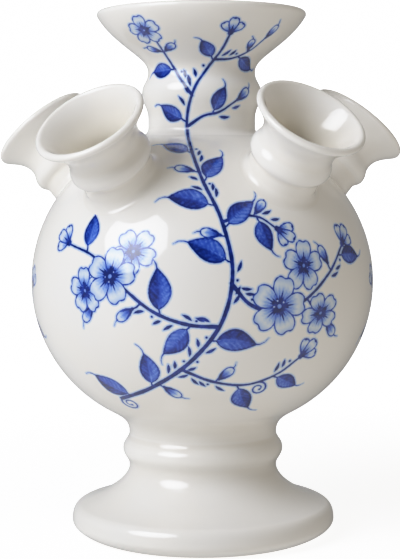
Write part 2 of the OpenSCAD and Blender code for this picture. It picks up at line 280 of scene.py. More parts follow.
class Form:
    """The vase's measures in millimetres, worked out from the settings."""

    def __init__(self):
        v = settings()
        self.globe, self.foot, self.neck, self.spouts, self.luting = (
            {key: getattr(sizes, key) / (1 if key in ("rise", "lift", "knee_slope") else MM)
             for key in sizes.__annotations__}
            for sizes in (v.globe, v.foot, v.neck, v.spouts, v.luting)
        )
        f, n, s = self.foot, self.neck, self.spouts
        self.arc, self.off = self.arc_of(False)
        self.globe_z = f["height"] + self.arc_rise(f["stem"], True)
        self.seat_z = self.globe_z + self.arc_rise(n["radius"], False)
        self.lip_z = self.seat_z + n["height"]
        self.stem_bore = f["stem"] - f["wall"]
        self.neck_bore = n["radius"] - n["wall"]
        self.spout_bore = s["waist"] - s["wall"]

    def arc_of(self, low):
        """The globe's arc above or below its widest line: radius and the centre's distance off the axis."""
        arc = np.where(low, self.globe["low_arc"], self.globe["arc"])
        return arc, self.globe["radius"] - arc

    def arc_rise(self, r, low):
        arc, off = self.arc_of(low)
        return math.sqrt(arc**2 - (r - off) ** 2)

    def on_arc(self, turn, coat=0.0):
        """Points of the globe's outline at these turns above its widest line, in radians."""
        turn = np.atleast_1d(turn)
        arc, off = self.arc_of(turn < 0)
        return np.c_[off + (arc + coat) * np.cos(turn), self.globe_z + (arc + coat) * np.sin(turn)]

    def turn_at(self, r, coat=0.0, low=False):
        arc, off = self.arc_of(low)
        return math.acos((r - off) / (arc + coat))

    def globe_outline(self):
        top = self.turn_at(self.neck_bore)
        out = self.on_arc(np.r_[np.linspace(-math.pi / 2, 0, 50), np.linspace(0, top, 41)[1:]])
        under = -self.globe["wall"]
        inner = self.on_arc(np.linspace(self.turn_at(self.neck_bore, under), -math.pi / 2, 30), under)
        return thread(pt(0, out[0][1]), out, inner, pt(0, inner[-1][1]))

    def foot_outline(self):
        f, l = self.foot, self.luting
        edge, shoulder = f["edge"], pt(f["radius"] - f["shoulder_in"], f["edge"] + f["shoulder_up"])
        flare = pt(shoulder[0] - f["stem"], f["low"] - shoulder[1])
        sweep = shoulder + flare * pt(-0.56, 0.2)
        inside, hollow = f["ring"] - f["ring_width"], 0.87 * f["low"]
        high = f["height"] - l["foot_up"]
        rim = [self.turn_at(r, l["slip"], True) for r in (f["stem"], self.stem_bore)]
        rim = self.on_arc(-np.linspace(*rim, 4), l["slip"])
        ring = thread(pt(inside, 0.5), pt(inside + 0.5, 0), pt(f["ring"], 0))
        return thread(
            ring,
            bez(ring[-1], pt(f["ring"] + 0.05 * (f["radius"] - f["ring"]), 0), pt(f["radius"], 0.4 * edge),
                pt(f["radius"], edge)),
            bez(pt(f["radius"], edge), pt(f["radius"], edge + 0.6 * f["shoulder_up"]),
                shoulder - 0.2 * (sweep - shoulder), shoulder),
            bez(shoulder, sweep, pt(f["stem"], f["low"] - 0.35 * flare[1]), pt(f["stem"], f["low"]), 28),
            swell(f["stem"], f["low"], f["knop"], f["knop_up"]),
            swell(f["knop"], f["knop_up"], f["stem"], high),
            rim,
            bez(pt(self.stem_bore, hollow), pt(self.stem_bore, 0.47 * hollow), pt(inside, edge),
                pt(inside, 0.5), 20),
        )

    def neck_side(self):
        """The neck's outer side, from just over its cove to the lip."""
        n, seat = self.neck, self.seat_z
        start = pt(n["radius"], seat + n["waist"])
        knee = start + pt(n["knee_out"], n["knee_up"])
        end = pt(n["bowl"], self.lip_z - n["wall"] / 2)
        span, slant = end - knee, pt(math.cos(n["knee_slope"]), math.sin(n["knee_slope"]))
        ringed = thread(
            pt(n["radius"], seat + self.luting["neck_up"]),
            swell(n["radius"], seat + n["low"], n["ring"], seat + n["ring_up"]),
            swell(n["ring"], seat + n["ring_up"], n["radius"], seat + n["waist"]),
        )
        bowl = thread(
            bez(start, start + pt(0, 0.42 * n["knee_up"]), knee - 0.6 * n["knee_out"] * slant, knee, 10),
            bez(knee, knee + 0.4 * span[0] * slant, end - span * pt(0.26, 0.44), end, 24),
        )
        return ringed, bowl

    def neck_outline(self):
        n, slip = self.neck, self.luting["slip"]
        ringed, bowl = self.neck_side()
        rim = [self.turn_at(r, slip) for r in (self.neck_bore, n["radius"])]
        rim = self.on_arc(np.linspace(*rim, 4), slip)
        return thread(rim, ringed, mouth(bowl, n["wall"]), rim[0])

    def cove(self, radius, foot):
        """Section of the slip joint round the foot's stem or the neck, a cove that runs into both."""
        l, side = self.luting, -1 if foot else 1
        up, out, bore = (l["foot_up"], l["foot_out"], self.stem_bore) if foot else (
            l["neck_up"], l["neck_out"], self.neck_bore)
        wall = pt(radius, (self.foot["height"] if foot else self.seat_z) + side * up)
        meet = side * self.turn_at(radius + out, 0.0, foot)
        low = self.on_arc(meet)[0]
        along = pt(-math.sin(meet), math.cos(meet)) * side
        reach = 0.62 * np.hypot(*(wall - low)) / 1.3
        outside = bez(wall, wall - pt(0, side * 0.75 * reach), low + reach * along, low, 12)
        under = self.on_arc(np.linspace(meet, side * self.turn_at(bore, 0.0, foot), 8))
        over = [side * self.turn_at(r, l["slip"], foot) for r in (bore, radius)]
        over = self.on_arc(np.linspace(*over, 6), l["slip"])
        return outside, thread(outside, under, over, wall)

    def spout_outline(self):
        """A spout's outer side from its groove, its lip, and its straighter inner side down to the bore."""
        s, up, bore = self.spouts, self.spouts["waist_up"], self.spout_bore
        start, end = pt(s["waist"], up), pt(s["mouth"], s["height"] - s["wall"] / 2)
        span = end - start
        flare = bez(start, start + pt(0, 0.44 * span[1]), end - span * pt(0.46, 0.28), end, 20)
        lip = mouth(flare, s["wall"])[:-20]
        return thread(
            swell(s["base"], s["groove"], s["ring"], s["ring_up"]),
            swell(s["ring"], s["ring_up"], s["waist"], up),
            lip,
            bez(lip[-1], lip[-1] - pt(2.6, 3.0), pt(bore + 0.3, up + 3), pt(bore, up - 4), 20),
        )

    def seat(self, lifted):
        """Where a spout's axis leaves the globe, and the axis, for a bearing of 0."""
        s = self.spouts
        rise = s["rise"] + (s["lift"] if lifted else 0)
        b = self.off * math.cos(rise) + s["drop"] * math.sin(rise)
        d = b + math.sqrt(b * b - self.off**2 - s["drop"] ** 2 + self.arc**2)
        axis = np.array((math.cos(rise), 0, math.sin(rise)))
        return np.array((0, 0, self.globe_z - s["drop"])) + d * axis, axis

    def spout_frame(self, lifted):
        """A spout at a bearing of 0: seat, axis, the spokes round it, and the rings of its base and bore."""
        seat, axis = self.seat(lifted)
        turn = np.linspace(0, math.tau, SPOUT_SIDES, endpoint=False)[:, None]
        spokes = np.cos(turn) * np.cross((0, 1, 0), axis) + np.sin(turn) * np.array((0, 1, 0))
        return seat, axis, spokes, seat + self.spouts["base"] * spokes, seat + self.spout_bore * spokes

    def down_to_globe(self, points, axis, coat=0.0):
        """How far along axis each point has to go to lie on the globe, or on its coat of slip."""
        low, high = np.full(len(points), -16.0), np.full(len(points), 12.0)
        for _ in range(40):
            mid = (low + high) / 2
            p = points + mid[:, None] * axis
            out = np.hypot(np.hypot(p[:, 0], p[:, 1]) - self.off, p[:, 2] - self.globe_z) > self.arc + coat
            low, high = np.where(out, low, mid), np.where(out, mid, high)
        return high[:, None]

    def from_globe(self, points):
        """For each point: the spoke from the nearest arc's centre, that arc, and how far outside it is."""
        arc, off = self.arc_of(points[:, 2] < self.globe_z)
        r = np.maximum(np.hypot(points[:, 0], points[:, 1]), 1e-6)
        centre = points * (off / r)[:, None]
        centre[:, 2] = self.globe_z
        spoke = points - centre
        out = np.where(r > off, np.linalg.norm(spoke, axis=1) - arc, -FAR)
        return spoke, arc, out

    def onto_globe(self, points):
        """The points moved straight onto the globe's outside."""
        spoke, arc, out = self.from_globe(points)
        return points - spoke * (out / (arc + out))[:, None]


# Modelling


def clear_selection():
    if bpy.context.object and bpy.context.object.mode != "OBJECT":
        bpy.ops.object.mode_set(mode="OBJECT")
    bpy.ops.object.select_all(action="DESELECT")


def take(piece):
    """Makes this piece the only one that is selected."""
    clear_selection()
    piece.select_set(True)
    bpy.context.view_layer.objects.active = piece


def named(name):
    piece = bpy.context.object
    piece.name = piece.data.name = name
    return piece


def close_up():
    """Merges doubles, turns the faces outwards and leaves edit mode with smooth shading."""
    bpy.ops.mesh.select_all(action="SELECT")
    bpy.ops.mesh.remove_doubles(threshold=2e-6)
    bpy.ops.mesh.normals_make_consistent(inside=False)
    bpy.ops.object.mode_set(mode="OBJECT")
    bpy.ops.object.shade_smooth_by_angle(angle=SMOOTH)


def turned(name, outline, steps):
    """A piece spun from an outline that closes on itself or on the axis."""
    clear_selection()
    bpy.ops.mesh.primitive_plane_add(size=0.01, location=(0, 0, 0))
    piece = named(name)
    bpy.ops.object.mode_set(mode="EDIT")
    bpy.ops.mesh.select_mode(type="VERT")
    bpy.ops.mesh.select_all(action="SELECT")
    bpy.ops.mesh.merge(type="CENTER")
    place = np.zeros(2)
    for i, point in enumerate(outline):
        step = (point - place) * MM
        if i:
            bpy.ops.mesh.extrude_vertices_move(TRANSFORM_OT_translate={"value": (step[0], 0, step[1])})
        else:
            bpy.ops.transform.translate(value=(step[0], 0, step[1]))
        place = point
    bpy.ops.mesh.select_all(action="SELECT")
    bpy.ops.mesh.spin(steps=steps, angle=math.tau, center=(0, 0, 0), axis=(0, 0, 1), use_auto_merge=True)
    close_up()
    return piece


def ringed(name, rings):
    """A piece whose skin is drawn out from ring to ring and back to the first one."""
    clear_selection()
    bpy.ops.mesh.primitive_circle_add(vertices=len(rings[0]), radius=0.01, fill_type="NOTHING")
    piece = named(name)
    bpy.ops.object.mode_set(mode="EDIT")
    bpy.ops.mesh.select_mode(type="EDGE")
    bpy.ops.mesh.select_all(action="SELECT")
    last = None
    for ring in [*rings, rings[0]]:
        if last is not None:
            bpy.ops.mesh.extrude_edges_move()
        mesh = bmesh.from_edit_mesh(piece.data)
        drawn = [v for v in mesh.verts if v.select]
        if last is None:
            order = range(len(drawn))
        else:
            at = np.array([v.co for v in drawn])
            order = [int(np.argmin(((last - p) ** 2).sum(1))) for p in at]
        for v, k in zip(drawn, order):
            v.co = ring[k] * MM
        bmesh.update_edit_mesh(piece.data)
        last = (ring * MM).astype(np.float32)
    close_up()
    return piece


def points_of(mesh):
    found = np.empty(len(mesh.vertices) * 3, np.float32)
    mesh.vertices.foreach_get("co", found)
    return found.reshape(-1, 3).astype(float) / MM


def section(points):
    """Radius and height of each point."""
    return np.c_[np.hypot(points[:, 0], points[:, 1]), points[:, 2]]


def keep(mesh, name, values):
    """Writes one number for each point of the mesh."""
    if name in mesh.attributes:
        mesh.attributes.remove(mesh.attributes[name])
    mesh.attributes.new(name, "FLOAT", "POINT").data.foreach_set("value", np.asarray(values, np.float32))


def gather_and_shade_on(mesh, line, where, mouthed=False):
    """Marks by the outline's bend where the glaze gathers and shade is painted into the groove, below 0, or
    runs thin on a ridge, above 0.
    Down a mouth, which the outline enters at its highest point, the mark goes on to -2."""
    way = np.gradient(line, axis=0)
    bend = np.unwrap(np.arctan2(way[:, 1], way[:, 0]))
    run = np.r_[0, np.cumsum(np.hypot(*np.diff(line, axis=0).T))]
    turn = np.gradient(bend, np.maximum(run, np.arange(len(run)) * 1e-6))
    marks = np.tanh(5 * np.convolve(np.pad(turn, 2, mode="edge"), np.ones(5) / 5, "valid"))
    if mouthed:
        down = np.clip((run - run[line[:, 1].argmax()]) / THROAT, 0, 1)
        marks -= (marks + 2) * down
    nearest = np.empty(len(where), int)
    for i in range(0, len(where), 20000):
        part = where[i:i + 20000]
        nearest[i:i + 20000] = ((part[:, None] - line[None]) ** 2).sum(2).argmin(1)
    keep(mesh, "gather_and_shade", marks[nearest])


def finish_piece(piece, nodes, slot, *finishes):
    piece.data.materials.clear()
    for finish in finishes:
        piece.data.materials.append(finish)
    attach(piece, "root")
    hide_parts(*nodes)
    clear_selection()


def to_bearing(i):
    return Matrix.Rotation(math.radians(FIRST_BEARING + SPOUT_STEP * i), 4, "Z")


def set_round(model, lifted, title, node, slot):
    """Copies the model to the bearing of each spout of its slope, then takes it away."""
    for i, name in enumerate(SPOUT_NAMES):
        if ("right" in name) == lifted:
            take(model)
            bpy.ops.object.duplicate(linked=False)
            piece = named(title.format(name))
            piece.data.transform(to_bearing(i))
            finish_piece(piece, [node.format(name)], slot, material("white_glaze", glaze_material))
    bpy.data.objects.remove(model, do_unlink=True)


# Brushwork: a place on the vase's side is (a, s), the turn round the axis from the front in radians
# and the length up the side from the globe's widest line in millimetres


def wrapped(turn):
    return (turn + math.pi) % math.tau - math.pi


class Side:
    """The painted side of the vase, from under the globe to the lip."""

    def __init__(self, form):
        self.form = form
        outside, _ = form.cove(form.neck["radius"], False)
        line = thread(outside[::-1], *form.neck_side())
        self.r, self.z = line.T
        self.join_s, self.join_z = form.arc * form.turn_at(self.r[0]), self.z[0]
        self.s = self.join_s + np.r_[0, np.cumsum(np.hypot(*np.diff(line, axis=0).T))]

    def up(self, z):
        """Length up the side at this height."""
        up = z - self.form.globe_z
        arc, _ = self.form.arc_of(up < 0)
        on_globe = arc * np.arcsin(np.clip(up / arc, -1, 1))
        return np.where(z > self.join_z, np.interp(z, self.z, self.s), on_globe)

    def radius(self, s):
        arc, off = self.form.arc_of(s < 0)
        on_globe = off + arc * np.cos(s / arc)
        return np.where(s > self.join_s, np.interp(s, self.s, self.r), on_globe)

    def place(self, x, z, turn=0.0):
        """The place that shows x to the right of the middle, at height z, seen straight from that turn."""
        s = self.up(np.asarray(z, float))
        return turn + np.arcsin(np.clip(x / self.radius(s), -0.98, 0.98)), s

    def reading(self, points):
        """Turn, length up the side and radius of each point, and whether it lies on the painted side."""
        x, y, z = points.T
        r = np.hypot(x, y)
        spoke, arc, out = self.form.from_globe(points)
        on_globe = arc * np.arctan2(spoke[:, 2], np.hypot(spoke[:, 0], spoke[:, 1]))
        upper = (z > self.join_z - 0.05) & (abs(r - np.interp(z, self.z, self.r)) < 0.45)
        s = np.where(upper, np.interp(z, self.z, self.s), on_globe)
        return np.arctan2(x, -y), s, r, (abs(out) < 0.25) | upper


class Stem:
    """A drawn stem, with the way it heads at each point."""

    def __init__(self, side, knots, turn=0.0):
        p = np.array(knots, float)
        ends = np.r_[[2 * p[0] - p[1]], p, [2 * p[-1] - p[-2]]]
        t = np.linspace(0, 1, 12, endpoint=False)[:, None]
        runs = [
            0.5 * (2 * b + (c - a) * t + (2 * a - 5 * b + 4 * c - d) * t**2 + (3 * b - a - 3 * c + d) * t**3)
            for a, b, c, d in zip(ends, ends[1:], ends[2:], ends[3:])
        ]
        line = np.concatenate([*runs, p[-1:]])
        self.a, self.s = side.place(line[:, 0], line[:, 1], turn)
        r = side.radius(self.s)
        self.heads = np.degrees(np.arctan2(np.gradient(self.s), np.gradient(self.a) * r))
        steps = np.hypot(np.diff(self.a) * r[1:], np.diff(self.s))
        self.run = np.r_[0, np.cumsum(steps)]

    def spot(self, t):
        """The place and the heading at a share t of the stem's length."""
        i = int(np.argmin(abs(self.run - t * self.run[-1])))
        return (self.a[i], self.s[i]), self.heads[i]


class Brush:
    """Marks of the brush in the order they were laid down."""

    def __init__(self, side):
        self.side = side
        self.marks = []

    def line(self, a, s, half, ink):
        """A stroke through these places, half as wide as it says, cut into short runs."""
        a, s = np.asarray(a), np.asarray(s)
        half = np.broadcast_to(half, a.shape)
        for i in range(0, len(a) - 1, 10):
            run = slice(i, min(i + 11, len(a)))
            self.marks.append(("line", a[run], s[run], half[run], ink))

    def stroke(self, place, points, half, ink):
        """A stroke through points given in millimetres from a place."""
        points = np.asarray(points, float)
        s = place[1] + points[:, 1]
        self.line(place[0] + points[:, 0] / self.side.radius(s), s, half, ink)

    def patch(self, place, outline, tone):
        """A filled shape over what it lies on. Its tone is a function of millimetres from the place."""
        self.marks.append(("patch", place, np.asarray(outline, float), tone))

    def shape(self, place, outline, tone, half, ink):
        """A filled shape with a stroke round it."""
        self.patch(place, outline, tone)
        self.stroke(place, np.r_[outline, outline[:1]], half, ink)

    def dab(self, place, point, half, ink):
        """A touch of the brush's tip."""
        self.stroke(place, [point, point + 0.05], half, ink)

    def lay(self, a, s, r):
        """For each point: distance to the strokes and their ink, distance to the shapes and their tone."""
        count = len(a)
        line, fill = np.full(count, FAR), np.full(count, FAR)
        ink, tone = np.zeros(count), np.zeros(count)
        for kind, *mark in self.marks:
            if kind == "line":
                pa, ps, half, dark = mark
                a0, s0 = (pa.min() + pa.max()) / 2, (ps.min() + ps.max()) / 2
                turn = wrapped(a - a0)
                wide = np.ptp(pa) / 2 * r + MARGIN
                near = np.flatnonzero((abs(s - s0) < np.ptp(ps) / 2 + MARGIN) & (abs(turn) * r < wide))
                if not len(near):
                    continue
                x = (pa - a0 - turn[near, None]) * r[near, None]
                y = ps - s[near, None]
                d = from_line(x, y, half)
                closer = d < line[near]
                line[near[closer]], ink[near[closer]] = d[closer], dark
            else:
                (a0, s0), outline, shade = mark
                reach = abs(outline).max(0) + MARGIN
                turn = wrapped(a - a0)
                near = np.flatnonzero((abs(s - s0) < reach[1]) & (abs(turn) * r < reach[0]))
                if not len(near):
                    continue
                u, v = turn[near] * r[near], s[near] - s0
                d = in_shape(u, v, outline)
                closer = (d < fill[near]) | (d < 0)
                hit = near[closer]
                fill[hit], tone[hit] = d[closer], shade(u, v)[closer]
                line[near[d < 0]] = FAR
        return line, ink, fill, tone


def from_line(x, y, half):
    """Distance from the origin to each row's line of points, less half its width there."""
    ax, ay, bx, by = x[:, :-1], y[:, :-1], x[:, 1:], y[:, 1:]
    ex, ey = bx - ax, by - ay
    t = np.clip(-(ax * ex + ay * ey) / np.maximum(ex * ex + ey * ey, 1e-9), 0, 1)
    return (np.hypot(ax + t * ex, ay + t * ey) - (half[:-1] + t * np.diff(half))).min(1)


def in_shape(u, v, outline):
    """Distance of each point to a closed outline, below 0 inside it."""
    closed = np.r_[outline, outline[:1]]
    x, y = closed[:, 0] - u[:, None], closed[:, 1] - v[:, None]
    d = from_line(x, y, np.zeros(len(closed)))
    ay, by, ax, bx = y[:, :-1], y[:, 1:], x[:, :-1], x[:, 1:]
    cross = (ay > 0) != (by > 0)
    at = ax - ay * (bx - ax) / np.where(cross, by - ay, 1)
    inside = (cross & (at > 0)).sum(1) % 2 == 1
    return np.where(inside, -d, d)


def turned_by(points, degrees):
    c, s = math.cos(math.radians(degrees)), math.sin(math.radians(degrees))
    points = np.asarray(points, float)
    return points @ np.array(((c, s), (-s, c)))


def along_across(u, v, degrees):
    c, s = math.cos(math.radians(degrees)), math.sin(math.radians(degrees))
    return u * c + v * s, v * c - u * s


def bump(x, width):
    return np.exp(-((x / width) ** 2))


def leaf(brush, place, heading, size, lean=0.0, depth=1.0):
    """A pointed leaf, darker on one half, with its ribs left paler."""
    t = np.linspace(0, 1, 15)
    half = 0.28 * size * np.sin(math.pi * t**0.82) ** 0.9
    bow = lean * size * 4 * t * (1 - t)
    upper, lower = np.c_[t * size, bow + half], np.c_[t * size, bow - half]
    outline = turned_by(np.r_[upper, lower[-2:0:-1]], heading)

    def tone(u, v):
        x, y = along_across(u, v, heading)
        q = np.clip(x / size, 0, 1)
        y = y - lean * size * 4 * q * (1 - q)
        ribs = (x - 0.95 * abs(y)) / (0.155 * size)
        shade = depth * (0.82 + 0.18 * np.tanh(y * 1.2)) * (0.82 + 0.26 * q)
        shade -= 0.36 * bump(y, 0.26) * (1 - 0.7 * q)
        return np.clip(shade - 0.2 * bump(ribs - np.round(ribs), 0.16) * np.tanh(abs(y)), 0.12, 1)

    brush.shape(place, outline, tone, 0.24, depth)
    tip = turned_by(size * np.array([(0.96, 0), (1.1, 0.02), (1.22, 0.09), (1.3, 0.2)]), heading)
    brush.stroke(place, tip, np.array((0.36, 0.24, 0.17, 0.1)), 0.85 * depth)


def slanted(points, heading, squash, tilt):
    """The points turned to a heading, on a disc that is seen squashed across its tilt."""
    return turned_by(turned_by(points, heading - tilt) * (1, squash), tilt)


def petal(brush, place, heading, size, spread, squash=1.0, tilt=0.0, tipped=False):
    """One notched petal that opens from the place."""
    t = np.linspace(-1, 1, 27)
    reach = size * np.cos(t * math.pi / 2 * 0.985) ** 0.36 * (1 - 0.11 * bump(t, 0.2))
    flat = np.c_[reach * np.cos(np.radians(t * spread)), reach * np.sin(np.radians(t * spread))]
    outline = slanted(flat, heading, squash, tilt)

    def tone(u, v):
        x, y = along_across(u, v, tilt)
        x, y = along_across(x, y / squash, heading - tilt)
        q, turn = np.hypot(x, y) / size, np.degrees(np.arctan2(y, x)) / spread
        veins = bump(turn, 0.1) + bump(abs(turn) - 0.36, 0.08) + bump(abs(turn) - 0.68, 0.08)
        wash = 0.05 + 0.62 * np.clip(1 - q / 0.66, 0, 1) ** 1.4 + 0.15 * np.clip(q - 0.72, 0, 1) / 0.28
        return np.clip(wash + 0.24 * veins * np.clip(1 - abs(q - 0.3) / 0.42, 0, 1), 0, 1)

    edge = 0.2 + 0.13 * abs(np.sin(np.arange(len(outline) + 1) * 0.7))
    brush.shape(place, outline, tone, edge, 0.74)
    if tipped:
        brush.dab(place, outline[len(outline) // 2] * 1.05, 0.46, 0.95)


def blossom(brush, place, size, heading, squash=1.0, tilt=0.0, petals=5):
    """An open blossom of notched petals round a dark eye."""
    each = 360 / petals
    for k in [*range(0, petals, 2), *range(1, petals, 2)]:
        petal(brush, place, heading + k * each, size, each * 0.56, squash, tilt)
    for k in range(petals):
        for swing, share in ((0, 0.52), (-14, 0.36), (14, 0.36)):
            ray = slanted([(0.1 * size, 0), (share * size, 0)], heading + k * each + swing, squash, tilt)
            brush.stroke(place, ray, np.array((0.74, 0.14)), 0.95)
    ring = np.radians(np.arange(0, 360, 30))
    eye = turned_by(np.c_[np.cos(ring), np.sin(ring) * squash] * 0.1 * size, tilt)
    brush.shape(place, eye, lambda u, v: np.full(len(u), 0.3), 0.3, 0.98)
    for k in range(petals):
        between = slanted([(0.25 * size, 0)], heading + (k + 0.5) * each, squash, tilt)[0]
        brush.dab(place, between, 0.42, 0.98)


def side_bloom(brush, place, heading, size):
    """A half-open blossom seen from its side: three petals over a cup."""
    for swing, share in ((-38, 0.86), (38, 0.86), (0, 1.0)):
        petal(brush, place, heading + swing, size * share, 27, tipped=True)
    for swing in (-56, -28, 0, 28, 56):
        reach = 0.52 * size * math.cos(math.radians(swing))
        ray = turned_by([(-0.04 * size, 0), (reach, 0)], heading + swing)
        brush.stroke(place, ray, np.array((0.95, 0.12)), 0.95)


def bud(brush, place, heading, size):
    """A closed bud, paler to its tip, in two dark sepals."""
    t = np.linspace(0, math.tau, 22, endpoint=False)
    x, y = (1 - np.cos(t)) / 2, 0.3 * np.sin(t) * np.sin(t / 2) ** 0.5
    outline = turned_by(np.c_[x, y] * size, heading)

    def tone(u, v):
        x, y = along_across(u, v, heading)
        return np.clip(0.8 * (1.15 - 1.45 * x / size + 0.2 * bump(y, 0.3)), 0.07, 1)

    brush.shape(place, outline, tone, 0.24, 0.8)
    for swing in (-34, 34):
        sepal = size * np.array([(-0.05, 0), (0.3, 0.06 * np.sign(swing)), (0.56, 0.02)])
        brush.stroke(place, turned_by(sepal, heading + swing * 0.6), np.array((0.62, 0.55, 0.1)), 0.95)
    whisker = turned_by(size * np.array([(0.98, 0), (1.16, 0.04), (1.34, 0.16)]), heading)
    brush.stroke(place, whisker, np.array((0.3, 0.18, 0.1)), 0.8)


def comma(brush, place, heading, size):
    t = np.linspace(0, 1, 5)[:, None]
    points = turned_by(np.c_[t * size, 0.22 * size * t * t], heading)
    brush.stroke(place, points, np.array((0.18, 0.56, 0.7, 0.5, 0.12)), 0.97)


def dot(brush, place):
    brush.stroke(place, [(0, 0), (0.05, 0)], 0.5, 0.95)


def curl(brush, place, heading, size, hand=1):
    """A thin tendril that winds in to a dot."""
    t = np.linspace(0, 1, 26)
    turn = hand * np.radians(-70 + 520 * t**0.9)
    reach = size * (0.36 - 0.27 * t)
    ring = np.c_[reach * np.cos(turn), reach * np.sin(turn)]
    points = turned_by(ring - ring[0], heading)
    brush.stroke(place, points, np.linspace(0.42, 0.22, 26), 0.82)
    brush.dab(place, points[-1], 0.5, 0.9)


def grow(brush, stem, *sprigs):
    """Draws sprigs on short stalks, in order: the share of the stem where the stalk leaves it, its swing from
    the stem's heading, its length, the motif at its end and what the motif takes."""
    for t, swing, stalk, draw, *rest in sprigs:
        place, heading = stem.spot(t)
        way = heading + swing
        bow = turned_by([(0, 0), (0.5 * stalk, 0.08 * stalk * np.sign(swing)), (stalk, 0)], way)
        brush.stroke(place, bow, np.array((0.42, 0.34, 0.3)), 0.9)
        s = place[1] + bow[-1][1]
        draw(brush, (place[0] + bow[-1][0] / brush.side.radius(s), s), way, *rest)


def open_blooms(brush, turn, *blooms):
    """Open blossoms: how far right and how high each shows, then its size, heading, squash and tilt."""
    for x, z, *rest in blooms:
        blossom(brush, brush.side.place(x, z, turn), *rest)


def drawn_stem(brush, knots, thick, thin, turn=0.0):
    stem = Stem(brush.side, knots, turn)
    t = stem.run / stem.run[-1]
    half = thick + (thin - thick) * t + 0.07 * np.sin(stem.run * 0.55) * (1 - 0.5 * t)
    brush.line(stem.a, stem.s, half, 0.97)
    return stem


def trim(brush, stem, *runs):
    """Commas and dots along a stem: from and to which share of it, how many, and on which side."""
    for start, stop, count, side in runs:
        for k, t in enumerate(np.linspace(start, stop, count)):
            place, heading = stem.spot(t)
            away = turned_by([(0, 2.1 * side)], heading)[0]
            s = place[1] + away[1]
            near = place[0] + away[0] / brush.side.radius(s), s
            if k % 3 == 2:
                dot(brush, near)
            else:
                comma(brush, near, heading + side * 34, 4.4 - 0.8 * (k % 3))


